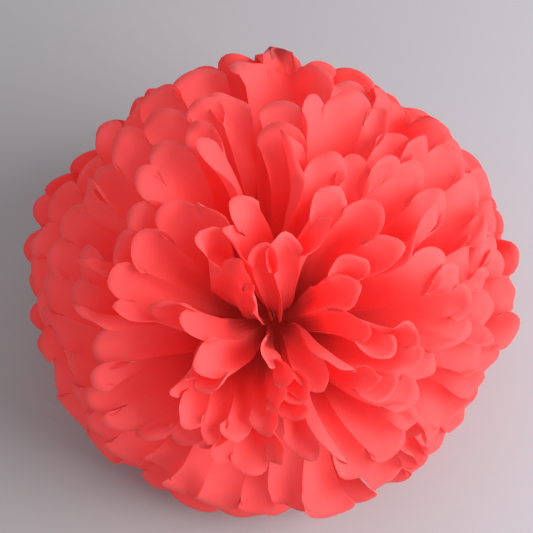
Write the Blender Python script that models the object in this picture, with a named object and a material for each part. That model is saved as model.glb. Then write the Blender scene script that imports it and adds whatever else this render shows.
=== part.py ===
# Tissue paper pom pom, lying on a table with its crown leaning forward.
#
# Eight sheets of tissue are pleated together into one narrow strip, the
# strip's ends are cut round, and a wire is tied round its middle. The pleats
# then fan out to both sides of the tie, each half of a sheet going half way
# round the ball, and the sheets are pulled apart, four towards the crown and
# four away from it. Each pleat ends in one round petal.
#
# The model stands on the plane z = 0, with the viewer at -Y.

import math

import bmesh
import bpy
import numpy as np
from mathutils import Vector

# Cut sizes of the paper
SHEETS = 8
PLEATS = 20
PLEAT_WIDTH = 0.0254
CUT_LENGTH = 0.3302
ROUND_LENGTH = 0.016
PAPER_WALL = 0.00035
LONGEST_MITRE = 2.6
MITRE_DAMPING = 0.01

# The tie
TIE_STRIP_HALF = 0.0022
TIE_STRIP_STEP = 0.0007
TIE_WIDTH = 0.012
SHEET_PITCH = 0.00085
WIRE_DIAMETER = 0.0007
WIRE_CLEARANCE = 0.0003
WIRE_CORNER = 0.0007
WIRE_TAIL = 0.010
TWIST_TURNS = 2
TWIST_CLEARANCE = 0.00012
STEPS_PER_TURN = 6

# Stations along a petal, measured from the tie
NECK = 0.018
STATIONS = (NECK, 0.054, 0.098)
MIDDLE_STATIONS = (NECK, 0.070)

# How the folds open out
FULL_WIDTH_FROM = 0.088
CHORD_SHARE = 0.97
SEAM_MARGIN = math.radians(2.2)
SEAM_SWING = math.radians(12)
SEAM_WAVES = 4.2
SEAM_LAG = 2.0
WIDEST_SEAM = 1.2
FOLD_LEAST = 0.95
FOLD_MOST = 1.90
STRAND_GAP = 0.80
FIRST_JITTER = 0.010
FIRST_ZIGZAG = 0.006
FIRST_WAVE = 0.22
FEWEST_WAVES = 2.6
GROWTH_STAGES = 20
GROWTH_PASSES = 24
SPRING_RATE = 0.25
PUSH_RATE = 0.35
PUSH_LIMIT = 0.1
FREE_REACH = 1.6
WIDEST_GAP = 0.3
MARGIN_SHARE = 0.3
POLE_MARGIN_SHARE = 0.6
POINTS_PER_PLEAT = 4
SMALL = 1e-6
SEED = 41

# How the petals bend
CURL = math.radians(24)
CURL_FROM = 0.050
CURL_POWER = 1.6
CURL_LOW = 0.5
CURL_HIGH = 0.7
ARCH = 0.11
CROWN_STRETCH = 0.6
SWAY = 0.019
SWAY_DIRECTION = math.radians(30)
CUP = 0.0026
FLOP = 0.0060
FLOP_FACING = 0.6
FLAT_BELOW = 0.030
FREE_ABOVE = 0.075
RIM_SHARES = (0.15, 0.5, 0.85)
FLATTENING = 0.95
NARROWING = 0.95
WOBBLE = 0.0042
WOBBLE_LENGTH = 0.070
WOBBLE_WAVES = 4

# The front of the ball, where the crown is pulled up and leaves a skirt below
FRONT_SPREAD = math.radians(46)
EVEN_LATITUDES = np.radians([0, 20, 41, 58, 62, 75, 90, 180])
BALL_LATITUDES = np.radians([0, 9, 20, 31, 34, 49, 89, 180])
FRONT_LATITUDES = np.radians([0, 6, 13, 22, 52, 63, 88, 180])

# How it lies on the table
SPIN = math.radians(14)
LEAN = math.radians(38)
TIE_HEIGHT = 0.092
PRESS_HEIGHT = 0.045
PRESS_SPREAD = 0.35
FLOOR_BAND = 0.003
FLAT_NORMAL = 0.8

REACH = CUT_LENGTH / 2
NOTCH = REACH - ROUND_LENGTH

PAPER_COLOUR = (0.90, 0.105, 0.095, 1.0)
PAPER_ROUGHNESS = 0.85
WIRE_COLOUR = (0.10, 0.22, 0.10, 1.0)
WIRE_ROUGHNESS = 0.45
WIRE_METAL = 0.6


def remove_everything():
    for thing in list(bpy.data.objects):
        bpy.data.objects.remove(thing, do_unlink=True)


def make_material(name, colour, roughness, metallic):
    material = bpy.data.materials.new(name)
    material.use_nodes = True
    shader = material.node_tree.nodes["Principled BSDF"]
    shader.inputs["Base Color"].default_value = colour
    shader.inputs["Roughness"].default_value = roughness
    shader.inputs["Metallic"].default_value = metallic
    return material


def band_of(sheet):
    """The sheet's share of the ball: bands of equal area, counted from the crown."""
    top = math.acos(1 - 2 * sheet / SHEETS)
    bottom = math.acos(1 - 2 * (sheet + 1) / SHEETS)
    return top, bottom


def from_angles(theta, phi):
    return np.stack([np.sin(theta) * np.cos(phi), np.sin(theta) * np.sin(phi), np.cos(theta)], axis=-1)


def to_angles(points):
    length = np.linalg.norm(points, axis=-1)
    theta = np.arccos(np.clip(points[..., 2] / length, -1, 1))
    return theta, np.arctan2(points[..., 1], points[..., 0])


def seam_limits(theta, side):
    """The azimuths where half a ball ends: two seams that swing to and fro."""
    swing = SEAM_SWING * np.sin(SEAM_WAVES * theta)
    other = SEAM_SWING * np.sin(SEAM_WAVES * theta + SEAM_LAG)
    if side < 0:
        swing, other = other, swing
    edge = np.minimum(SEAM_MARGIN / np.maximum(np.sin(theta), SMALL), WIDEST_SEAM)
    return other - math.pi / 2 + edge, swing + math.pi / 2 - edge


def keep_in_band(folds, top, bottom, margin, side):
    """Folds moved back inside the sheet's band and its half of the ball."""
    theta, phi = to_angles(folds)
    low = top + margin
    high = bottom - margin
    if top < SMALL:
        low = POLE_MARGIN_SHARE * margin
    if bottom > math.pi - SMALL:
        high = math.pi - POLE_MARGIN_SHARE * margin
    theta = np.clip(theta, low, high)
    first, last = seam_limits(theta, side)
    return from_angles(theta, np.clip(phi, first, last))


def spring(folds, reach, least, most):
    """Folds that lie `reach` apart along the strand keep their distance in range."""
    step = folds[reach:] - folds[:-reach]
    length = np.maximum(np.linalg.norm(step, axis=1, keepdims=True), SMALL)
    push = SPRING_RATE * (np.clip(length, least, most) - length) / length * step
    moved = folds.copy()
    moved[reach:] += push
    moved[:-reach] -= push
    return moved


def push_apart(folds, clear):
    """Stretches of the strand that come too near each other move apart."""
    owner = np.repeat(np.arange(PLEATS), POINTS_PER_PLEAT)
    part = np.tile(np.arange(POINTS_PER_PLEAT) / POINTS_PER_PLEAT, PLEATS)
    owner = np.append(owner, PLEATS - 1)
    part = np.append(part, 1.0)
    points = (1 - part)[:, None] * folds[owner] + part[:, None] * folds[owner + 1]
    apart = points[:, None, :] - points[None, :, :]
    distance = np.linalg.norm(apart, axis=2)
    place = owner + part
    near = (np.abs(place[:, None] - place[None, :]) > FREE_REACH) & (distance < clear)
    shove = np.where(near, (clear - distance) / np.maximum(distance, SMALL), 0.0)
    count = np.maximum(near.sum(axis=1), 1)[:, None]
    force = PUSH_RATE * (shove[:, :, None] * apart).sum(axis=1) / count
    move = np.zeros_like(folds)
    np.add.at(move, owner, (1 - part)[:, None] * force)
    np.add.at(move, owner + 1, part[:, None] * force)
    size = np.maximum(np.linalg.norm(move, axis=1, keepdims=True), SMALL)
    return folds + move * np.minimum(1, PUSH_LIMIT * clear / size)


def grow_folds(sheet, side):
    """The way the fold lines of half a sheet wander as its pleats open.

    Seen from the tie, the edge of a half sheet is a strand of pleats on the
    unit sphere. It starts as an even row at the neck, and each stage gives
    every pleat a little more width, so the strand wanders within its band
    and never crosses itself. Returns the widths and the fold directions.
    """
    rng = np.random.default_rng(SEED + 10 * sheet + side)
    top, bottom = band_of(sheet)
    middle = math.acos((math.cos(top) + math.cos(bottom)) / 2)
    first_end, last_end = seam_limits(middle, side)
    azimuth = np.linspace(first_end, last_end, PLEATS + 1)
    waves = max(FEWEST_WAVES, math.sin(middle) * math.pi / (2 * (bottom - top)))
    wave = FIRST_WAVE * (bottom - top) * np.sin(2 * waves * azimuth + rng.uniform(0, 2 * math.pi))
    zigzag = FIRST_ZIGZAG * (-1.0) ** np.arange(PLEATS + 1)
    jitter = FIRST_JITTER * rng.uniform(-1, 1, PLEATS + 1)
    folds = from_angles(middle + wave + zigzag + jitter, azimuth)
    first = np.linalg.norm(folds[1:] - folds[:-1], axis=1).mean()
    last = CHORD_SHARE * PLEAT_WIDTH / FULL_WIDTH_FROM
    area = 2 * math.pi / SHEETS
    widths = np.linspace(first, last, GROWTH_STAGES + 1)
    stages = [folds]
    for width in widths[1:]:
        clear = min(STRAND_GAP * area / (PLEATS * width), WIDEST_GAP)
        margin = MARGIN_SHARE * min(clear, bottom - top)
        for _ in range(GROWTH_PASSES):
            folds = spring(folds, 1, width, width)
            folds = spring(folds, 2, FOLD_LEAST * width, FOLD_MOST * width)
            folds = push_apart(folds, clear)
            folds = keep_in_band(folds, top, bottom, margin, side)
        stages.append(folds)
    return widths, np.array(stages)


def fold_directions(widths, stages, distance):
    """Directions of the fold lines where they are `distance` from the tie."""
    if distance < FULL_WIDTH_FROM:
        share = (distance - NECK) / (FULL_WIDTH_FROM - NECK)
        width = widths[0] + (widths[-1] - widths[0]) * share
    else:
        width = CHORD_SHARE * PLEAT_WIDTH / distance
    place = np.clip((width - widths[0]) / (widths[1] - widths[0]), 0, GROWTH_STAGES)
    lower = min(int(place), GROWTH_STAGES - 1)
    blend = place - lower
    mixed = (1 - blend) * stages[lower] + blend * stages[lower + 1]
    return mixed / np.linalg.norm(mixed, axis=1, keepdims=True)


def wobble(points):
    """A slow waviness that makes no two petals alike."""
    rng = np.random.default_rng(SEED)
    shift = np.zeros_like(points)
    for _ in range(WOBBLE_WAVES):
        wave = rng.normal(size=3)
        wave *= 2 * math.pi / WOBBLE_LENGTH / np.linalg.norm(wave)
        shift += rng.uniform(-1, 1, 3) * np.sin(points @ wave + rng.uniform(0, 2 * math.pi))[..., None]
    reach = np.linalg.norm(points, axis=-1, keepdims=True) / REACH
    return points + WOBBLE * shift * reach ** 2


def lay_down(points):
    """Turns the ball's own frame into its lie on the table."""
    x, y, z = points[..., 0], points[..., 1], points[..., 2]
    y, z = y * math.cos(LEAN) - z * math.sin(LEAN), y * math.sin(LEAN) + z * math.cos(LEAN)
    sway = SWAY * (x * x + y * y + z * z) / REACH ** 2
    y = y + sway * math.cos(SWAY_DIRECTION)
    z = z + sway * math.sin(SWAY_DIRECTION) + TIE_HEIGHT
    pressed = np.where(z < PRESS_HEIGHT, PRESS_HEIGHT * np.exp((z - PRESS_HEIGHT) / PRESS_HEIGHT), z)
    spread = 1 + PRESS_SPREAD * (pressed - z) / REACH
    return np.stack([x * spread, y * spread, pressed], axis=-1)


def place(directions, distance, side):
    """Points of a half sheet, `distance` along the paper from the tie."""
    theta, phi = to_angles(directions)
    phi = phi + SPIN + (0 if side > 0 else math.pi)
    off_front = np.angle(np.exp(1j * (phi + math.pi / 2)))
    front = np.exp(-(off_front / FRONT_SPREAD) ** 2)
    around = np.interp(theta, EVEN_LATITUDES, BALL_LATITUDES)
    theta = around + front * (np.interp(theta, EVEN_LATITUDES, FRONT_LATITUDES) - around)
    bend = np.clip((distance - CURL_FROM) / (REACH - CURL_FROM), 0, None) ** CURL_POWER
    theta = theta + CURL * bend * np.sin(2 * theta) * (CURL_LOW + CURL_HIGH * np.cos(theta) ** 2)
    arch = ARCH * (1 - CROWN_STRETCH * np.cos(theta) ** 2)
    radius = distance * (1 - arch * (distance / REACH) ** 2)
    points = from_angles(theta, phi) * radius[..., None]
    points[..., 1] *= NARROWING
    points[..., 2] *= FLATTENING
    points[..., 0] += side * TIE_STRIP_HALF * math.cos(SPIN)
    points[..., 1] += side * TIE_STRIP_HALF * math.sin(SPIN)
    return lay_down(wobble(points))


def tie_row(sheet, side):
    """The pleats pressed side by side under the wire."""
    along = np.linspace(-TIE_WIDTH / 2, TIE_WIDTH / 2, PLEATS + 1) * side
    from_outside = min(sheet, SHEETS - 1 - sheet)
    across = side * (TIE_STRIP_HALF + from_outside * TIE_STRIP_STEP)
    x = across * math.cos(SPIN) - along * math.sin(SPIN)
    y = across * math.sin(SPIN) + along * math.cos(SPIN)
    height = ((SHEETS - 1) / 2 - sheet) * SHEET_PITCH
    return lay_down(np.stack([x, y, np.full(PLEATS + 1, height)], axis=-1))


def away_from_crown(points):
    """The way each point moves as its petal bends away from the nearer end of the crown's axis."""
    crown = np.array([0, -math.sin(LEAN), math.cos(LEAN)])
    ray = points - np.array([0, 0, TIE_HEIGHT])
    ray /= np.linalg.norm(ray, axis=-1, keepdims=True)
    height = ray @ crown
    away = ray - height[..., None] * crown
    away /= np.linalg.norm(away, axis=-1, keepdims=True)
    return away * np.abs(height)[..., None] - crown * (np.sign(height) * np.sqrt(1 - height ** 2))[..., None]


def petal_normals(widths, stages, side):
    """Which way each petal bows, and how freely: away from the crown, and not where it is pressed."""
    row = place(fold_directions(widths, stages, NOTCH), NOTCH, side)
    further = place(fold_directions(widths, stages, NOTCH + ROUND_LENGTH / 2), NOTCH + ROUND_LENGTH / 2, side)
    middle = (row[1:] + row[:-1]) / 2
    normal = np.cross(row[1:] - row[:-1], (further[1:] + further[:-1]) / 2 - middle)
    normal /= np.linalg.norm(normal, axis=1, keepdims=True)
    facing = np.sum(normal * away_from_crown(middle), axis=1) / FLOP_FACING
    height = (middle[:, 2] - FLAT_BELOW) / (FREE_ABOVE - FLAT_BELOW)
    return normal * (np.clip(facing, -1, 1) * np.clip(height, 0, 1))[:, None]


def across_petals(widths, stages, distance, share, side, normals):
    """A point part of the way across each pleat, bowed to make its cup and its fallen tip."""
    row = place(fold_directions(widths, stages, distance), distance, side)
    fall = max(distance - NOTCH, 0) / ROUND_LENGTH
    depth = 4 * share * (1 - share) * (CUP + FLOP * fall)
    return (1 - share) * row[:-1] + share * row[1:] + depth * normals


def add_row(mesh, points):
    return [mesh.verts.new(Vector(point)) for point in points]


def bridge(mesh, inner, outer):
    """Quads between two rows with a vertex at each fold."""
    for i in range(PLEATS):
        mesh.faces.new((inner[i], inner[i + 1], outer[i + 1], outer[i]))


def stations_of(sheet):
    """Rows of the sheet short of its petals; the two middle sheets bend least and need fewer."""
    middle = sheet in (SHEETS // 2 - 1, SHEETS // 2)
    return MIDDLE_STATIONS if middle else STATIONS


def half_sheet(mesh, sheet, side, tie):
    """One half of a sheet, from the tie to the round ends of its pleats."""
    widths, stages = grow_folds(sheet, side)
    inner = tie
    for distance in stations_of(sheet):
        directions = fold_directions(widths, stages, distance)
        outer = add_row(mesh, place(directions, distance, side))
        bridge(mesh, inner, outer)
        inner = outer
    normals = petal_normals(widths, stages, side)
    notches = add_row(mesh, place(fold_directions(widths, stages, NOTCH), NOTCH, side))
    middles = add_row(mesh, across_petals(widths, stages, NOTCH, 0.5, side, normals))
    for i in range(PLEATS):
        mesh.faces.new((inner[i], inner[i + 1], middles[i]))
        mesh.faces.new((inner[i], middles[i], notches[i]))
        mesh.faces.new((inner[i + 1], notches[i + 1], middles[i]))
    rim = []
    for share in RIM_SHARES:
        distance = NOTCH + ROUND_LENGTH * math.sqrt(1 - (2 * share - 1) ** 2)
        rim.append(add_row(mesh, across_petals(widths, stages, distance, share, side, normals)))
    for i in range(PLEATS):
        outline = [notches[i]] + [row[i] for row in rim] + [notches[i + 1]]
        for first, second in zip(outline, outline[1:]):
            mesh.faces.new((middles[i], second, first))


def sheet_surface(sheet):
    """The middle of a whole sheet: two fans of pleats and the strip between them."""
    mesh = bmesh.new()
    ties = {side: add_row(mesh, tie_row(sheet, side)) for side in (1, -1)}
    for side in (1, -1):
        half_sheet(mesh, sheet, side, ties[side])
    bridge(mesh, ties[1][::-1], ties[-1])
    bmesh.ops.recalc_face_normals(mesh, faces=mesh.faces)
    bmesh.ops.triangulate(mesh, faces=mesh.faces)
    return mesh


def rest_on_table(surfaces):
    """Centres the ball, sets it on z = 0 and flattens the paper that lies there."""
    points = np.array([vertex.co for mesh in surfaces for vertex in mesh.verts])
    low = points.min(axis=0)
    high = points.max(axis=0)
    shift = Vector((-(low[0] + high[0]) / 2, -(low[1] + high[1]) / 2, -low[2] - FLOOR_BAND))
    for mesh in surfaces:
        for vertex in mesh.verts:
            vertex.co += shift
            vertex.co.z = max(vertex.co.z, 0) + PAPER_WALL / 2
    return shift


def offset_of(vertex):
    """From the middle surface to the paper's face: half a wall off every facet here."""
    normals = np.array([face.normal for face in vertex.link_faces])
    if vertex.co.z < PAPER_WALL and abs(vertex.normal.z) > FLAT_NORMAL:
        return Vector((0, 0, math.copysign(PAPER_WALL / 2, vertex.normal.z)))
    pull = normals.T @ normals + MITRE_DAMPING * len(normals) * np.eye(3)
    offset = np.linalg.solve(pull, normals.sum(axis=0) * PAPER_WALL / 2)
    longest = LONGEST_MITRE * PAPER_WALL / 2
    return Vector(offset * min(1, longest / max(np.linalg.norm(offset), SMALL)))


def thicken(mesh):
    """A closed wall of paper in place of its middle surface."""
    mesh.normal_update()
    offsets = {vertex: offset_of(vertex) for vertex in mesh.verts}
    edges = [edge for edge in mesh.edges if edge.is_boundary]
    faces = list(mesh.faces)
    under = {vertex: mesh.verts.new(vertex.co - offset) for vertex, offset in offsets.items()}
    for edge in edges:
        first, second = edge.link_loops[0].vert, edge.link_loops[0].link_loop_next.vert
        mesh.faces.new((second, first, under[first], under[second]))
    for face in faces:
        mesh.faces.new([under[vertex] for vertex in reversed(face.verts)])
    for vertex, offset in offsets.items():
        vertex.co += offset
    for vertex in mesh.verts:
        vertex.co.z = max(vertex.co.z, 0)
    bmesh.ops.triangulate(mesh, faces=mesh.faces)


def add_object(name, mesh, material):
    data = bpy.data.meshes.new(name)
    mesh.to_mesh(data)
    mesh.free()
    data.shade_smooth()
    data.materials.append(material)
    bpy.context.scene.collection.objects.link(bpy.data.objects.new(name, data))


def wire_route():
    """The wire's middle line in the tie's plane: out of the twist, round, and back."""
    half_width = TIE_WIDTH / 2 + PAPER_WALL / 2 + WIRE_CLEARANCE + WIRE_DIAMETER / 2
    half_height = (SHEETS - 1) / 2 * SHEET_PITCH + PAPER_WALL / 2 + WIRE_CLEARANCE + WIRE_DIAMETER / 2
    pair = (WIRE_DIAMETER + TWIST_CLEARANCE) / 2
    steps = STEPS_PER_TURN * TWIST_TURNS
    tail = []
    for step in range(steps + 1):
        turn = 2 * math.pi * TWIST_TURNS * step / steps
        along = half_width + pair + WIRE_TAIL * step / steps
        tail.append((along, pair * math.cos(turn), pair * math.sin(turn)))
    loop = []
    for corner in range(4):
        middle = math.pi / 4 + corner * math.pi / 2
        across = math.copysign(half_width - WIRE_CORNER, math.cos(middle))
        up = math.copysign(half_height - WIRE_CORNER, math.sin(middle))
        for turn in (-math.pi / 4, 0, math.pi / 4):
            loop.append((across + WIRE_CORNER * math.cos(middle + turn),
                         up + WIRE_CORNER * math.sin(middle + turn), 0))
    return tail[::-1] + loop + [(along, -up, -out) for along, up, out in tail]


def make_wire(shift, material):
    """The tie: one length of wire round the pleated strip, its ends twisted together."""
    route = []
    for along, up, out in wire_route():
        x = out * math.cos(SPIN) - along * math.sin(SPIN)
        y = out * math.sin(SPIN) + along * math.cos(SPIN)
        route.append(lay_down(np.array((x, y, up))) + np.array(shift) + np.array((0, 0, PAPER_WALL / 2)))
    curve = bpy.data.curves.new("tie_wire", "CURVE")
    curve.dimensions = "3D"
    curve.bevel_depth = WIRE_DIAMETER / 2
    curve.bevel_resolution = 1
    curve.use_fill_caps = True
    line = curve.splines.new("POLY")
    line.points.add(len(route) - 1)
    for point, position in zip(line.points, route):
        point.co = (*position, 1)
    curve.materials.append(material)
    bpy.context.scene.collection.objects.link(bpy.data.objects.new("tie_wire", curve))


def main():
    remove_everything()
    surfaces = [sheet_surface(sheet) for sheet in range(SHEETS)]
    shift = rest_on_table(surfaces)
    for sheet, surface in enumerate(surfaces):
        thicken(surface)
        name = "tissue_sheet_%d" % (sheet + 1)
        add_object(name, surface, make_material(name, PAPER_COLOUR, PAPER_ROUGHNESS, 0))
    make_wire(shift, make_material("floral_wire", WIRE_COLOUR, WIRE_ROUGHNESS, WIRE_METAL))


main()
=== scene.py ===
# Looks of a tissue paper pom pom: fine petals, thin paper and the table it lies on.

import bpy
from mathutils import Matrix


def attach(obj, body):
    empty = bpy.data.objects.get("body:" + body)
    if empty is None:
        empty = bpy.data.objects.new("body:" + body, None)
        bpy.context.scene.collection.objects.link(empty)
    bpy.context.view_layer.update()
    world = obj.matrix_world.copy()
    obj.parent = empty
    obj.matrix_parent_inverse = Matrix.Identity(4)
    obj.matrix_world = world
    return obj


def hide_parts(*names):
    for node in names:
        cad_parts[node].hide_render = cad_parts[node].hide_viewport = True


bl_info = {
    "name": "Tissue Paper Pom Pom",
    "version": (1, 0, 0),
    "blender": (4, 5, 0),
    "location": "View3D > Sidebar > Pom Pom",
    "description": "Fine tissue sheets, tie wire, table and light for a paper pom pom",
    "category": "Add Mesh",
}

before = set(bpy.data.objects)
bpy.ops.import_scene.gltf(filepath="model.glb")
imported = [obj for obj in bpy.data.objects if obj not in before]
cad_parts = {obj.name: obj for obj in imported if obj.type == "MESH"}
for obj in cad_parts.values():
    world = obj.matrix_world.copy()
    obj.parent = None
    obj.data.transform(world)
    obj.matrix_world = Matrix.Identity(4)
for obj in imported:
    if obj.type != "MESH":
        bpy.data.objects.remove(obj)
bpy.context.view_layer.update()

import math

import bmesh
import bpy
import numpy as np
from bpy.props import FloatProperty, FloatVectorProperty, IntProperty, PointerProperty
from mathutils import Vector

# Cut sizes of the paper, the same as in the solids
SHEETS = 8
PLEATS = 20
PLEAT_WIDTH = 0.0254
SHEET_WIDTH = PLEATS * PLEAT_WIDTH
CUT_LENGTH = 0.3302
REACH = CUT_LENGTH / 2
TIE_STRIP_HALF = 0.0022
TIE_STRIP_STEP = 0.0007
TIE_WIDTH = 0.012
SHEET_PITCH = 0.00085
NECK = 0.018
PAPER_WALL = 0.00035

# How the folds open out
FULL_WIDTH_FROM = 0.088
CHORD_SHARE = 0.97
SEAM_MARGIN = math.radians(2.2)
SEAM_SWING = math.radians(12)
SEAM_WAVES = 4.2
SEAM_LAG = 2.0
WIDEST_SEAM = 1.2
FOLD_LEAST = 0.95
FOLD_MOST = 1.90
STRAND_GAP = 0.80
FIRST_JITTER = 0.010
FIRST_ZIGZAG = 0.006
FIRST_WAVE = 0.22
FEWEST_WAVES = 2.6
GROWTH_STAGES = 20
GROWTH_PASSES = 24
SPRING_RATE = 0.25
PUSH_RATE = 0.35
PUSH_LIMIT = 0.1
FREE_REACH = 1.6
WIDEST_GAP = 0.3
MARGIN_SHARE = 0.3
POLE_MARGIN_SHARE = 0.6
POINTS_PER_PLEAT = 4
SMALL = 1e-6
SEED = 41

# How the petals bend, and how the ball lies on the table
CURL = math.radians(24)
CURL_FROM = 0.050
CURL_POWER = 1.6
CURL_LOW = 0.5
CURL_HIGH = 0.45
ARCH = 0.11
CROWN_STRETCH = 0.6
SWAY = 0.019
SWAY_DIRECTION = math.radians(30)
FLATTENING = 0.95
NARROWING = 0.95
WOBBLE = 0.0042
WOBBLE_LENGTH = 0.070
WOBBLE_WAVES = 4
FRONT_SPREAD = math.radians(46)
EVEN_LATITUDES = np.radians([0, 20, 41, 58, 62, 75, 90, 180])
BALL_LATITUDES = np.radians([0, 8.5, 20, 31, 34, 49, 89, 180])
FRONT_LATITUDES = np.radians([0, 6, 13, 22, 52, 63, 88, 180])
SPIN = math.radians(14)
LEAN = math.radians(38)
TIE_HEIGHT = 0.092
PRESS_HEIGHT = 0.045
PRESS_SPREAD = 0.35
TABLE_SHIFT = (-0.000391, -0.014873, -0.009279)

# The fine mesh
COLUMNS_PER_PLEAT = 12
COLUMNS = PLEATS * COLUMNS_PER_PLEAT
INNER_ROWS = (NECK, 0.027, 0.037, 0.048, 0.060, 0.072, 0.084, 0.095, 0.105, 0.115, 0.125)
OUTER_ROWS = 7
TIE_ROWS = 3
LITTLE_FURTHER = 0.002
SEAM_CLOSING = 1.024

# Crumples near the tie
GATHER_UNTIL = 0.128
GATHER_FADE = 0.050
CRUMPLE_RANGE = (0.85, 1.05)

# How each petal is bowed, and how its tip falls
PARABOLA_FACTOR = 3 / 8
MOST_SPARE = 1.2
CUP_FROM = 0.060
CUP_RISE = 0.050
CUP_RANGE = (0.55, 1.0)
FALL_RANGE = (0.4, 1.2)
MOST_FALL = 2
EDGE_ON = 0.5
EDGE_ON_FALL = 0.5
CROWN_REACH = 1.4
CROWN_FALL = 0.35
RIPPLE_SHARE = 0.35
MOST_FREED = 0.8
FLAT_BELOW = 0.020
FREE_ABOVE = 0.060

# Looks that are the same for every sheet
DARK_BLOTCH = (0.96, 0.85, 0.85)
LIGHT_BLOTCH = (1.0, 1.15, 1.15)
DARK_TAPE = (0.03, 0.10, 0.03, 1)
LIGHT_TAPE = (0.10, 0.24, 0.09, 1)

# Light and camera
ROOM_COLOUR = (0.93, 0.96, 1.0, 1)
ROOM_LIGHT = 0.70
LAMP_PLACE = (1.0, -0.35, 0.85)
LAMP_TARGET = (0, 0, 0.10)
LAMP_SIZE = 1.1
LAMP_COLOUR = (1.0, 0.98, 0.97)
CAMERA_TARGET = (-0.0035, 0.0052, 0.101)
CAMERA_LENS = 89


class PaperSettings(bpy.types.PropertyGroup):
    """The tissue paper."""

    colour: FloatVectorProperty(name="Colour", description="Colour of the paper by daylight",
                                subtype="COLOR", size=3, min=0, max=1, default=(0.90, 0.155, 0.16))
    glow: FloatVectorProperty(name="Glow", description="Colour of light that comes through one layer",
                              subtype="COLOR", size=3, min=0, max=1, default=(1.0, 0.10, 0.09))
    # Painted glow: the colour of a red emission on the paper that stands in for light passed through many
    # layers
    depth: FloatVectorProperty(name="Depth", description="Colour of light that comes through many layers",
                               subtype="COLOR", size=3, min=0, max=1, default=(1.0, 0.06, 0.05))
    sheerness: FloatProperty(name="Sheerness", description="Share of the light that goes through the paper",
                             subtype="FACTOR", min=0, max=1, default=0.50)
    # Painted glow: the strength of that emission, which lightens the paper's shaded folds
    painted_glow_strength: FloatProperty(name="Inner light", description="Light that has gone through many layers",
                               min=0, max=1, default=0.13)
    thickness: FloatProperty(name="Thickness", description="Thickness of one sheet",
                             subtype="DISTANCE", unit="LENGTH", min=0.00003, max=0.0005, default=0.00012)


class PetalSettings(bpy.types.PropertyGroup):
    """The round ends of the pleats."""

    round_length: FloatProperty(name="Round length", description="Length of the round cut at a pleat's end",
                                subtype="DISTANCE", unit="LENGTH", min=0.005, max=0.06, default=0.016)
    fullness: FloatProperty(name="Fullness", description="Share of the paper's width that bows each petal",
                            subtype="FACTOR", min=0.8, max=1.1, default=0.99)
    deepest_cup: FloatProperty(name="Deepest cup", description="Most that a petal is bowed across",
                               subtype="DISTANCE", unit="LENGTH", min=0, max=0.02, default=0.0055)
    flop: FloatProperty(name="Flop", description="How far a petal's tip falls outward",
                        subtype="DISTANCE", unit="LENGTH", min=0, max=0.03, default=0.012)
    flatness: FloatProperty(name="Flatness", description="How flat the round end is across",
                            min=0, max=12, default=5)
    spread: FloatProperty(name="Spread", description="How much wider the round end opens than the pleat",
                          subtype="FACTOR", min=0, max=0.4, default=0.14)
    freedom: FloatProperty(name="Freedom", description="How far a squeezed pleat's round end opens again",
                           subtype="FACTOR", min=0, max=1, default=0.4)
    alternation: FloatProperty(name="Alternation", description="How differently neighbouring petals fall",
                               min=0, max=1, default=0.35)
    flutter: FloatProperty(name="Flutter", description="How far a petal's tip twists and ripples",
                           subtype="DISTANCE", unit="LENGTH", min=0, max=0.01, default=0.0038)
    skew: FloatProperty(name="Skew", description="How lopsided the round cut is, by turns left and right",
                        subtype="FACTOR", min=0, max=1, default=0.22)
    flop_from: FloatProperty(name="Flop from", description="Where the petals begin to fall, from the tie",
                             subtype="DISTANCE", unit="LENGTH", min=0.05, max=0.16, default=0.105)
    seed: IntProperty(name="Seed", description="Start of the random draws that make each petal its own",
                      min=0, default=3)


class StageSettings(bpy.types.PropertyGroup):
    """The table and the light."""

    # Painted shade: the table's colour is a lit-side colour and a darker shade colour, blended across the
    # table top
    table_colour: FloatVectorProperty(name="Table colour", description="Colour of the table on the lit side",
                                      subtype="COLOR", size=3, min=0, max=1, default=(0.40, 0.385, 0.41))
    painted_table_shade: FloatVectorProperty(name="Table shade", description="Colour of the table on the other side",
                                     subtype="COLOR", size=3, min=0, max=1, default=(0.345, 0.335, 0.34))
    painted_shade_width: FloatProperty(name="Shade width", description="Width over which the table's shade fades out",
                               subtype="DISTANCE", unit="LENGTH", min=0.05, max=4, default=0.4)
    table_size: FloatProperty(name="Table size", description="Side of the square table top",
                              subtype="DISTANCE", unit="LENGTH", min=1, max=10, default=4)
    key_power: FloatProperty(name="Key light", description="Power of the large soft lamp",
                             unit="POWER", min=0, default=26)
    camera_height: FloatProperty(name="Camera elevation", description="Angle of the view above the table",
                                 subtype="ANGLE", min=0, max=math.pi / 2, default=math.radians(60))
    camera_distance: FloatProperty(name="Camera distance", description="From the camera to the ball's middle",
                                   subtype="DISTANCE", unit="LENGTH", min=0.3, max=4, default=0.80)


def band_of(sheet):
    """The sheet's share of the ball: bands of equal area, counted from the crown."""
    top = math.acos(1 - 2 * sheet / SHEETS)
    bottom = math.acos(1 - 2 * (sheet + 1) / SHEETS)
    return top, bottom


def unit(vectors):
    return vectors / np.maximum(np.linalg.norm(vectors, axis=-1, keepdims=True), SMALL)


def from_angles(theta, phi):
    return np.stack([np.sin(theta) * np.cos(phi), np.sin(theta) * np.sin(phi), np.cos(theta)], axis=-1)


def to_angles(points):
    theta = np.arccos(np.clip(unit(points)[..., 2], -1, 1))
    return theta, np.arctan2(points[..., 1], points[..., 0])


def seam_limits(theta, side):
    """The azimuths where half a ball ends: two seams that swing to and fro."""
    swing = SEAM_SWING * np.sin(SEAM_WAVES * theta)
    other = SEAM_SWING * np.sin(SEAM_WAVES * theta + SEAM_LAG)
    if side < 0:
        swing, other = other, swing
    edge = np.minimum(SEAM_MARGIN / np.maximum(np.sin(theta), SMALL), WIDEST_SEAM)
    return other - math.pi / 2 + edge, swing + math.pi / 2 - edge


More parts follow.
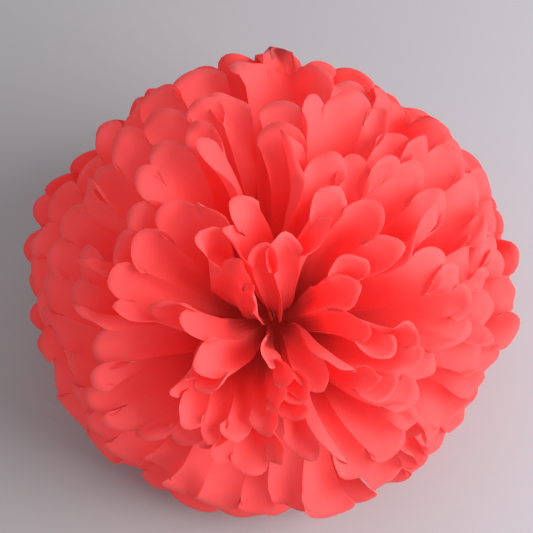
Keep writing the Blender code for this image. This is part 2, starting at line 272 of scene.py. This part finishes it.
def keep_in_band(folds, top, bottom, margin, side):
    """Folds moved back inside the sheet's band and its half of the ball."""
    theta, phi = to_angles(folds)
    low = top + margin
    high = bottom - margin
    if top < SMALL:
        low = POLE_MARGIN_SHARE * margin
    if bottom > math.pi - SMALL:
        high = math.pi - POLE_MARGIN_SHARE * margin
    theta = np.clip(theta, low, high)
    first, last = seam_limits(theta, side)
    return from_angles(theta, np.clip(phi, first, last))


def spring(folds, reach, least, most):
    """Folds that lie `reach` apart along the strand keep their distance in range."""
    step = folds[reach:] - folds[:-reach]
    length = np.maximum(np.linalg.norm(step, axis=1, keepdims=True), SMALL)
    push = SPRING_RATE * (np.clip(length, least, most) - length) / length * step
    moved = folds.copy()
    moved[reach:] += push
    moved[:-reach] -= push
    return moved


def push_apart(folds, clear):
    """Stretches of the strand that come too near each other move apart."""
    owner = np.repeat(np.arange(PLEATS), POINTS_PER_PLEAT)
    part = np.tile(np.arange(POINTS_PER_PLEAT) / POINTS_PER_PLEAT, PLEATS)
    owner = np.append(owner, PLEATS - 1)
    part = np.append(part, 1.0)
    points = (1 - part)[:, None] * folds[owner] + part[:, None] * folds[owner + 1]
    apart = points[:, None, :] - points[None, :, :]
    distance = np.linalg.norm(apart, axis=2)
    place = owner + part
    near = (np.abs(place[:, None] - place[None, :]) > FREE_REACH) & (distance < clear)
    shove = np.where(near, (clear - distance) / np.maximum(distance, SMALL), 0.0)
    count = np.maximum(near.sum(axis=1), 1)[:, None]
    force = PUSH_RATE * (shove[:, :, None] * apart).sum(axis=1) / count
    move = np.zeros_like(folds)
    np.add.at(move, owner, (1 - part)[:, None] * force)
    np.add.at(move, owner + 1, part[:, None] * force)
    size = np.maximum(np.linalg.norm(move, axis=1, keepdims=True), SMALL)
    return folds + move * np.minimum(1, PUSH_LIMIT * clear / size)


def grow_folds(sheet, side):
    """The way the fold lines of half a sheet wander as its pleats open, as in the solids."""
    rng = np.random.default_rng(SEED + 10 * sheet + side)
    top, bottom = band_of(sheet)
    middle = math.acos((math.cos(top) + math.cos(bottom)) / 2)
    first_end, last_end = seam_limits(middle, side)
    azimuth = np.linspace(first_end, last_end, PLEATS + 1)
    waves = max(FEWEST_WAVES, math.sin(middle) * math.pi / (2 * (bottom - top)))
    wave = FIRST_WAVE * (bottom - top) * np.sin(2 * waves * azimuth + rng.uniform(0, 2 * math.pi))
    zigzag = FIRST_ZIGZAG * (-1.0) ** np.arange(PLEATS + 1)
    jitter = FIRST_JITTER * rng.uniform(-1, 1, PLEATS + 1)
    folds = from_angles(middle + wave + zigzag + jitter, azimuth)
    first = np.linalg.norm(folds[1:] - folds[:-1], axis=1).mean()
    last = CHORD_SHARE * PLEAT_WIDTH / FULL_WIDTH_FROM
    area = 2 * math.pi / SHEETS
    widths = np.linspace(first, last, GROWTH_STAGES + 1)
    stages = [folds]
    for width in widths[1:]:
        clear = min(STRAND_GAP * area / (PLEATS * width), WIDEST_GAP)
        margin = MARGIN_SHARE * min(clear, bottom - top)
        for _ in range(GROWTH_PASSES):
            folds = spring(folds, 1, width, width)
            folds = spring(folds, 2, FOLD_LEAST * width, FOLD_MOST * width)
            folds = push_apart(folds, clear)
            folds = keep_in_band(folds, top, bottom, margin, side)
        stages.append(folds)
    return widths, np.array(stages)


def fold_directions(widths, stages, distance, fold):
    """Directions of fold lines where they are `distance` from the tie."""
    opening = widths[0] + (widths[-1] - widths[0]) * (distance - NECK) / (FULL_WIDTH_FROM - NECK)
    width = np.where(distance < FULL_WIDTH_FROM, opening, CHORD_SHARE * PLEAT_WIDTH / distance)
    place = np.clip((width - widths[0]) / (widths[1] - widths[0]), 0, GROWTH_STAGES)
    lower = np.minimum(place.astype(int), GROWTH_STAGES - 1)
    blend = (place - lower)[..., None]
    return unit((1 - blend) * stages[lower, fold] + blend * stages[lower + 1, fold])


def wobble(points):
    """A slow waviness that makes no two petals alike."""
    rng = np.random.default_rng(SEED)
    shift = np.zeros_like(points)
    for _ in range(WOBBLE_WAVES):
        wave = rng.normal(size=3)
        wave *= 2 * math.pi / WOBBLE_LENGTH / np.linalg.norm(wave)
        shift += rng.uniform(-1, 1, 3) * np.sin(points @ wave + rng.uniform(0, 2 * math.pi))[..., None]
    reach = np.linalg.norm(points, axis=-1, keepdims=True) / REACH
    return points + WOBBLE * shift * reach ** 2


def lay_down(points):
    """Turns the ball's own frame into its lie on the table."""
    x, y, z = points[..., 0], points[..., 1], points[..., 2]
    y, z = y * math.cos(LEAN) - z * math.sin(LEAN), y * math.sin(LEAN) + z * math.cos(LEAN)
    sway = SWAY * (x * x + y * y + z * z) / REACH ** 2
    y = y + sway * math.cos(SWAY_DIRECTION)
    z = z + sway * math.sin(SWAY_DIRECTION) + TIE_HEIGHT
    pressed = np.where(z < PRESS_HEIGHT, PRESS_HEIGHT * np.exp((z - PRESS_HEIGHT) / PRESS_HEIGHT), z)
    spread = 1 + PRESS_SPREAD * (pressed - z) / REACH
    points = np.stack([x * spread, y * spread, pressed], axis=-1) + np.array(TABLE_SHIFT)
    points[..., 2] = np.maximum(points[..., 2], 0) + PAPER_WALL / 2
    return points


def place(directions, distance, side):
    """Points of a half sheet, `distance` along the paper from the tie."""
    theta, phi = to_angles(directions)
    phi = phi * SEAM_CLOSING + SPIN + (0 if side > 0 else math.pi)
    off_front = np.angle(np.exp(1j * (phi + math.pi / 2)))
    front = np.exp(-(off_front / FRONT_SPREAD) ** 2)
    around = np.interp(theta, EVEN_LATITUDES, BALL_LATITUDES)
    theta = around + front * (np.interp(theta, EVEN_LATITUDES, FRONT_LATITUDES) - around)
    bend = np.clip((distance - CURL_FROM) / (REACH - CURL_FROM), 0, None) ** CURL_POWER
    theta = theta + CURL * bend * np.sin(2 * theta) * (CURL_LOW + CURL_HIGH * np.cos(theta) ** 2)
    arch = ARCH * (1 - CROWN_STRETCH * np.cos(theta) ** 2)
    radius = distance * (1 - arch * (distance / REACH) ** 2)
    points = from_angles(theta, phi) * radius[..., None]
    points[..., 1] *= NARROWING
    points[..., 2] *= FLATTENING
    points[..., 0] += side * TIE_STRIP_HALF * math.cos(SPIN)
    points[..., 1] += side * TIE_STRIP_HALF * math.sin(SPIN)
    return lay_down(wobble(points))


def tie_row(sheet, side):
    """The pleats pressed side by side under the wire."""
    along = np.linspace(-TIE_WIDTH / 2, TIE_WIDTH / 2, COLUMNS + 1) * side
    from_outside = min(sheet, SHEETS - 1 - sheet)
    across = side * (TIE_STRIP_HALF + from_outside * TIE_STRIP_STEP)
    x = across * math.cos(SPIN) - along * math.sin(SPIN)
    y = across * math.sin(SPIN) + along * math.cos(SPIN)
    height = ((SHEETS - 1) / 2 - sheet) * SHEET_PITCH
    return lay_down(np.stack([x, y, np.full(COLUMNS + 1, height)], axis=-1))


def fold_points(widths, stages, distance, fold, side):
    """Where fold lines lie, `distance` along the paper from the tie."""
    return place(fold_directions(widths, stages, distance, fold), distance, side)


def seen_from_tie(points):
    """The crown's direction, and the direction of each point, both from the tie."""
    crown = np.array([0, -math.sin(LEAN), math.cos(LEAN)])
    return crown, unit(points - np.array(TABLE_SHIFT) - np.array([0, 0, TIE_HEIGHT]))


def away_from_crown(points):
    """The way a petal's tip moves as it bends away from the nearer end of the ball's axis."""
    crown, ray = seen_from_tie(points)
    height = ray @ crown
    away = ray - height[..., None] * crown
    down = np.sign(height) * np.sqrt(1 - height ** 2)
    return unit(away) * np.abs(height)[..., None] - crown * down[..., None]


def sideways(points):
    """Share of its fall that a petal has: those near the crown stand up, those at the sides fall."""
    crown, ray = seen_from_tie(points)
    return np.clip(CROWN_REACH - np.abs(ray @ crown), CROWN_FALL, 1)


def paper_grid(petals):
    """For each column of the mesh its pleat and place across it, and every point's distance from the tie."""
    column = np.arange(COLUMNS + 1)
    pleat = np.minimum(column // COLUMNS_PER_PLEAT, PLEATS - 1)
    share = (1 - np.cos(math.pi * (column / COLUMNS_PER_PLEAT - pleat))) / 2
    notch = REACH - petals.round_length
    cut = share ** np.where(pleat % 2 == 0, 1 + petals.skew, 1 / (1 + petals.skew))
    rim = notch + petals.round_length * np.sqrt(np.clip(1 - (2 * cut - 1) ** 2, 0, 1))
    last = INNER_ROWS[-1]
    steps = np.arange(1, OUTER_ROWS + 1)[:, None] / OUTER_ROWS
    inner = np.repeat(np.array(INNER_ROWS)[:, None], COLUMNS + 1, axis=1)
    return pleat, share, np.vstack([inner, last + (rim - last) * steps])


def gather(chord, distance, rng):
    """Small crumples that take up the paper's width where the pleats are bunched together."""
    column = np.arange(COLUMNS + 1)
    spare = np.sqrt(np.clip(PLEAT_WIDTH ** 2 - chord ** 2, 0, None))
    fade = np.clip((GATHER_UNTIL - distance) / GATHER_FADE, 0, 1)
    uneven = rng.uniform(*CRUMPLE_RANGE, distance.shape)
    turn = np.where(column % 2 == 1, 1.0, -1.0) * (column % COLUMNS_PER_PLEAT > 0)
    return turn * uneven * fade * spare / (2 * COLUMNS_PER_PLEAT - 2)


def half_sheet(sheet, side, petals):
    """Rows of points from the neck to the round petal ends of one half of a sheet."""
    widths, stages = grow_folds(sheet, side)
    rng = np.random.default_rng(petals.seed + 10 * sheet + side)
    pleat, share, distance = paper_grid(petals)
    left = fold_points(widths, stages, distance, pleat[None, :], side)
    right = fold_points(widths, stages, distance, pleat[None, :] + 1, side)
    further = distance + LITTLE_FURTHER
    ahead = (fold_points(widths, stages, further, pleat[None, :], side)
             + fold_points(widths, stages, further, pleat[None, :] + 1, side)) / 2
    across = right - left
    chord = np.linalg.norm(across, axis=-1)
    middle = (left + right) / 2

    # Petals bow to the side that faces away from the crown
    normal = unit(np.cross(across, ahead - middle))
    facing = np.sum(normal * away_from_crown(middle), axis=-1)
    facing = facing[:, COLUMNS_PER_PLEAT // 2::COLUMNS_PER_PLEAT][-OUTER_ROWS]
    normal = normal * np.where(facing > 0, 1.0, -1.0)[pleat][None, :, None]

    # The cup comes from paper that is wider than the gap between its folds
    spare = np.clip(petals.fullness * PLEAT_WIDTH / chord - 1, 0, MOST_SPARE)
    cup = np.minimum(chord * np.sqrt(PARABOLA_FACTOR * spare), petals.deepest_cup)
    cup = cup * rng.uniform(*CUP_RANGE, PLEATS)[pleat] * np.clip((distance - CUP_FROM) / CUP_RISE, 0, 1)

    # The tip falls outward, more on every other petal and less where the petal stands edge on
    bend = np.clip((distance - petals.flop_from) / (REACH - petals.flop_from), 0, 1) ** 2
    turned = np.where(np.arange(PLEATS) % 2 == 0, petals.alternation, -petals.alternation)
    fall = np.clip(rng.uniform(*FALL_RANGE, PLEATS) + turned, 0, MOST_FALL)[pleat]
    square_on = np.clip(np.abs(facing) / EDGE_ON, EDGE_ON_FALL, 1)[pleat]
    flop = petals.flop * fall * square_on * bend * sideways(middle)

    # The round end is flatter across, and it twists and ripples
    notch = REACH - petals.round_length
    loose = np.clip((distance - notch) / petals.round_length, 0, 1)
    bulge = 1 - np.abs(2 * share - 1) ** (2 + petals.flatness * loose)
    twist = rng.uniform(-1, 1, PLEATS)[pleat] * (2 * share - 1)
    ripple = np.sin(2 * math.pi * (share + rng.uniform(0, 1, PLEATS)[pleat]))
    flutter = petals.flutter * loose * (twist + RIPPLE_SHARE * ripple)

    # Paper that is pressed on the table stays flat
    free = np.clip((middle[..., 2] - FLAT_BELOW) / (FREE_ABOVE - FLAT_BELOW), 0, 1)
    bow = ((cup + flop) * bulge + flutter) * free + gather(chord, distance, rng)
    freed = petals.spread + petals.freedom * np.clip(PLEAT_WIDTH / chord - 1, 0, MOST_FREED)
    opened = share + freed * (share - 0.5) * np.sqrt(loose * (1 - loose)) * 2
    points = left + opened[..., None] * across + bow[..., None] * normal
    points[..., 2] = np.maximum(points[..., 2], PAPER_WALL / 2)
    return points


def with_tie(rows, tie):
    """The rows of half a sheet with those between its tie and its neck put first."""
    steps = np.arange(TIE_ROWS)[:, None, None] / TIE_ROWS
    return np.vstack([(1 - steps) * tie + steps * rows[0], rows])


def make_sheet_mesh(sheet, petals):
    """A whole sheet as one grid, with its flat size in its UV map."""
    far = with_tie(half_sheet(sheet, -1, petals), tie_row(sheet, -1))
    near = with_tie(half_sheet(sheet, 1, petals), tie_row(sheet, 1))
    points = np.vstack([far[::-1, ::-1], near])
    count = len(points)
    mesh = bmesh.new()
    bmesh.ops.create_grid(mesh, x_segments=COLUMNS, y_segments=count - 1, size=1, calc_uvs=False)
    layer = mesh.loops.layers.uv.new("paper")
    spots = {}
    for vertex in mesh.verts:
        column = round((vertex.co.x + 1) / 2 * COLUMNS)
        row = round((vertex.co.y + 1) / 2 * (count - 1))
        spots[vertex] = (column, row)
    for face in mesh.faces:
        for loop in face.loops:
            column, row = spots[loop.vert]
            loop[layer].uv = (column / COLUMNS * SHEET_WIDTH, row / (count - 1) * CUT_LENGTH)
    for vertex, (column, row) in spots.items():
        vertex.co = points[row, column]
    for edge in mesh.edges:
        first, second = (spots[vertex][0] for vertex in edge.verts)
        edge.smooth = first != second or first % COLUMNS_PER_PLEAT != 0
    return mesh


def add_piece(name, mesh, material):
    data = bpy.data.meshes.new(name)
    mesh.to_mesh(data)
    mesh.free()
    data.shade_smooth()
    data.materials.append(material)
    piece = bpy.data.objects.new(name, data)
    bpy.context.scene.collection.objects.link(piece)
    return piece


def new_material(name):
    material = bpy.data.materials.new(name)
    material.use_nodes = True
    tree = material.node_tree
    tree.nodes.clear()
    return material, tree


def add_node(tree, kind, **values):
    node = tree.nodes.new(kind)
    for key, value in values.items():
        setattr(node, key, value)
    return node


def add_noise(tree, scale, detail):
    """A noise pattern that stays with its piece."""
    place_in = add_node(tree, "ShaderNodeTexCoord")
    noise = add_node(tree, "ShaderNodeTexNoise")
    noise.inputs["Scale"].default_value = scale
    noise.inputs["Detail"].default_value = detail
    tree.links.new(place_in.outputs["Object"], noise.inputs["Vector"])
    return noise


def add_bump(tree, noise, strength, distance):
    """Bumps as high as a noise pattern is light."""
    bump = add_node(tree, "ShaderNodeBump")
    bump.inputs["Strength"].default_value = strength
    bump.inputs["Distance"].default_value = distance
    tree.links.new(noise.outputs["Fac"], bump.inputs["Height"])
    return bump


def add_ramp(tree, noise, dark, light):
    """A noise pattern turned into two colours; each of `dark` and `light` is a position and a colour."""
    ramp = add_node(tree, "ShaderNodeValToRGB")
    for element, (position, colour) in zip(ramp.color_ramp.elements, (dark, light)):
        element.position = position
        element.color = colour
    tree.links.new(noise.outputs["Fac"], ramp.inputs["Fac"])
    return ramp


def tinted(colour, tint):
    return (*(part * factor for part, factor in zip(colour, tint)), 1)


def tissue_material(sheet, paper):
    """Thin dyed tissue: matt, slightly crinkled and sheer, with a weak painted red glow from emission that
    lightens its shaded depths.
    """
    material, tree = new_material("coral_tissue_%d" % (sheet + 1))
    link = tree.links.new
    crinkle = add_noise(tree, scale=85, detail=3)
    fibre = add_noise(tree, scale=900, detail=2)
    blotch = add_noise(tree, scale=22, detail=2)
    soft = add_bump(tree, crinkle, strength=0.35, distance=0.0012)
    fine = add_bump(tree, fibre, strength=0.15, distance=0.0001)
    link(soft.outputs["Normal"], fine.inputs["Normal"])
    ramp = add_ramp(tree, blotch, dark=(0.3, tinted(paper.colour, DARK_BLOTCH)),
                    light=(0.7, tinted(paper.colour, LIGHT_BLOTCH)))
    front = add_node(tree, "ShaderNodeBsdfPrincipled")
    front.inputs["Roughness"].default_value = 0.75
    front.inputs["Specular IOR Level"].default_value = 0.15
    front.inputs["Sheen Weight"].default_value = 0.15
    # Painted glow: a weak red emission that stands in for light bounced through many layers and keeps the
    # deep folds from going dark
    front.inputs["Emission Color"].default_value = (*paper.depth, 1)
    front.inputs["Emission Strength"].default_value = paper.painted_glow_strength
    through = add_node(tree, "ShaderNodeBsdfTranslucent")
    through.inputs["Color"].default_value = (*paper.glow, 1)
    link(ramp.outputs["Color"], front.inputs["Base Color"])
    link(fine.outputs["Normal"], front.inputs["Normal"])
    link(fine.outputs["Normal"], through.inputs["Normal"])
    both = add_node(tree, "ShaderNodeMixShader")
    both.inputs["Fac"].default_value = paper.sheerness
    out = add_node(tree, "ShaderNodeOutputMaterial")
    link(front.outputs["BSDF"], both.inputs[1])
    link(through.outputs["BSDF"], both.inputs[2])
    link(both.outputs["Shader"], out.inputs["Surface"])
    return material


def wire_material():
    """Green floral wire with a thin wrap of paper tape."""
    material, tree = new_material("paper_wrapped_wire")
    link = tree.links.new
    wrap = add_noise(tree, scale=1400, detail=2)
    bump = add_bump(tree, wrap, strength=0.4, distance=0.0001)
    ramp = add_ramp(tree, wrap, dark=(0, DARK_TAPE), light=(1, LIGHT_TAPE))
    front = add_node(tree, "ShaderNodeBsdfPrincipled")
    front.inputs["Roughness"].default_value = 0.5
    out = add_node(tree, "ShaderNodeOutputMaterial")
    link(ramp.outputs["Color"], front.inputs["Base Color"])
    link(bump.outputs["Normal"], front.inputs["Normal"])
    link(front.outputs["BSDF"], out.inputs["Surface"])
    return material


class POMPOM_OT_fold_sheets(bpy.types.Operator):
    """Fold and fluff the tissue sheets, each with its round petals"""

    bl_idname = "pompom.fold_sheets"
    bl_label = "Fold tissue sheets"

    def execute(self, context):
        scene = context.scene
        for sheet in range(SHEETS):
            node = "tissue_sheet_%d" % (sheet + 1)
            mesh = make_sheet_mesh(sheet, scene.pompom_petals)
            piece = add_piece("fine_" + node, mesh, tissue_material(sheet, scene.pompom_paper))
            wall = piece.modifiers.new("paper", "SOLIDIFY")
            wall.thickness = scene.pompom_paper.thickness
            wall.offset = 0
            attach(piece, "root")
            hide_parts(node)
        return {"FINISHED"}


class POMPOM_OT_dress_wire(bpy.types.Operator):
    """Give the tie wire its wrapped green finish"""

    bl_idname = "pompom.dress_wire"
    bl_label = "Dress tie wire"

    def execute(self, context):
        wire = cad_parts["tie_wire"]
        wire.data.materials.clear()
        wire.data.materials.append(wire_material())
        return {"FINISHED"}


def table_material(stage):
    """A matt pale cloth with painted shade: its colour is a little darker on the side away from the lamp."""
    material, tree = new_material("pale_table")
    link = tree.links.new
    place_in = add_node(tree, "ShaderNodeTexCoord")
    parts = add_node(tree, "ShaderNodeSeparateXYZ")
    ramp = add_node(tree, "ShaderNodeMapRange")
    ramp.inputs["From Min"].default_value = -stage.painted_shade_width / 2
    ramp.inputs["From Max"].default_value = stage.painted_shade_width / 2
    # Painted shade: the colour fades along X from the darker shade colour to the lit colour, standing in for
    # the lamp's falloff across the table
    blend = add_node(tree, "ShaderNodeMix", data_type="RGBA")
    blend.inputs["A"].default_value = (*stage.painted_table_shade, 1)
    blend.inputs["B"].default_value = (*stage.table_colour, 1)
    surface = add_node(tree, "ShaderNodeBsdfPrincipled")
    surface.inputs["Roughness"].default_value = 0.9
    surface.inputs["Specular IOR Level"].default_value = 0.1
    out = add_node(tree, "ShaderNodeOutputMaterial")
    link(place_in.outputs["Object"], parts.inputs["Vector"])
    link(parts.outputs["X"], ramp.inputs["Value"])
    link(ramp.outputs["Result"], blend.inputs["Factor"])
    link(blend.outputs["Result"], surface.inputs["Base Color"])
    link(surface.outputs["BSDF"], out.inputs["Surface"])
    return material


def add_room_light(scene):
    """Even light from all round."""
    world = bpy.data.worlds.new("soft_room")
    world.use_nodes = True
    world.node_tree.nodes["Background"].inputs["Color"].default_value = ROOM_COLOUR
    world.node_tree.nodes["Background"].inputs["Strength"].default_value = ROOM_LIGHT
    scene.world = world


def add_window_lamp(scene, power):
    """A large round lamp that lights the ball from the right."""
    lamp = bpy.data.lights.new("window_lamp", "AREA")
    lamp.shape = "DISK"
    lamp.size = LAMP_SIZE
    lamp.energy = power
    lamp.color = LAMP_COLOUR
    holder = bpy.data.objects.new("window_lamp", lamp)
    holder.location = LAMP_PLACE
    back = Vector(LAMP_PLACE) - Vector(LAMP_TARGET)
    holder.rotation_euler = back.to_track_quat("Z", "Y").to_euler()
    scene.collection.objects.link(holder)


def add_camera(scene, stage):
    """The photograph's view, from the front and above."""
    back = Vector((0, -math.cos(stage.camera_height), math.sin(stage.camera_height)))
    lens = bpy.data.cameras.new("photo_camera")
    lens.lens = CAMERA_LENS
    camera = bpy.data.objects.new("photo_camera", lens)
    camera.location = Vector(CAMERA_TARGET) + back * stage.camera_distance
    camera.rotation_euler = back.to_track_quat("Z", "Y").to_euler()
    scene.collection.objects.link(camera)
    scene.camera = camera


class POMPOM_OT_set_stage(bpy.types.Operator):
    """Set the pale table, the soft light and the camera"""

    bl_idname = "pompom.set_stage"
    bl_label = "Set table, light and camera"

    def execute(self, context):
        scene = context.scene
        stage = scene.pompom_stage
        mesh = bmesh.new()
        bmesh.ops.create_grid(mesh, x_segments=1, y_segments=1, size=stage.table_size / 2)
        floor = add_piece("table_top", mesh, table_material(stage))
        add_room_light(scene)
        add_window_lamp(scene, stage.key_power)
        add_camera(scene, stage)
        scene.view_settings.view_transform = "Standard"
        return {"FINISHED"}


class POMPOM_PT_panel(bpy.types.Panel):
    """Shows the settings of the paper, petals and stage, and the buttons that build the pom pom"""

    bl_label = "Pom Pom"
    bl_idname = "POMPOM_PT_panel"
    bl_space_type = "VIEW_3D"
    bl_region_type = "UI"
    bl_category = "Pom Pom"

    def draw(self, context):
        scene = context.scene
        for group in (scene.pompom_paper, scene.pompom_petals, scene.pompom_stage):
            box = self.layout.box()
            for name in group.__annotations__:
                box.prop(group, name)
        for operator in OPERATORS:
            self.layout.operator(operator.bl_idname)


SETTINGS = (PaperSettings, PetalSettings, StageSettings)
OPERATORS = (POMPOM_OT_set_stage, POMPOM_OT_fold_sheets, POMPOM_OT_dress_wire)


def register():
    for kind in SETTINGS + OPERATORS + (POMPOM_PT_panel,):
        bpy.utils.register_class(kind)
    bpy.types.Scene.pompom_paper = PointerProperty(type=PaperSettings)
    bpy.types.Scene.pompom_petals = PointerProperty(type=PetalSettings)
    bpy.types.Scene.pompom_stage = PointerProperty(type=StageSettings)


def unregister():
    del bpy.types.Scene.pompom_stage
    del bpy.types.Scene.pompom_petals
    del bpy.types.Scene.pompom_paper
    for kind in reversed(SETTINGS + OPERATORS + (POMPOM_PT_panel,)):
        bpy.utils.unregister_class(kind)


def main():
    register()
    bpy.ops.pompom.set_stage()
    bpy.ops.pompom.fold_sheets()
    bpy.ops.pompom.dress_wire()


if __name__ == "__main__":
    main()
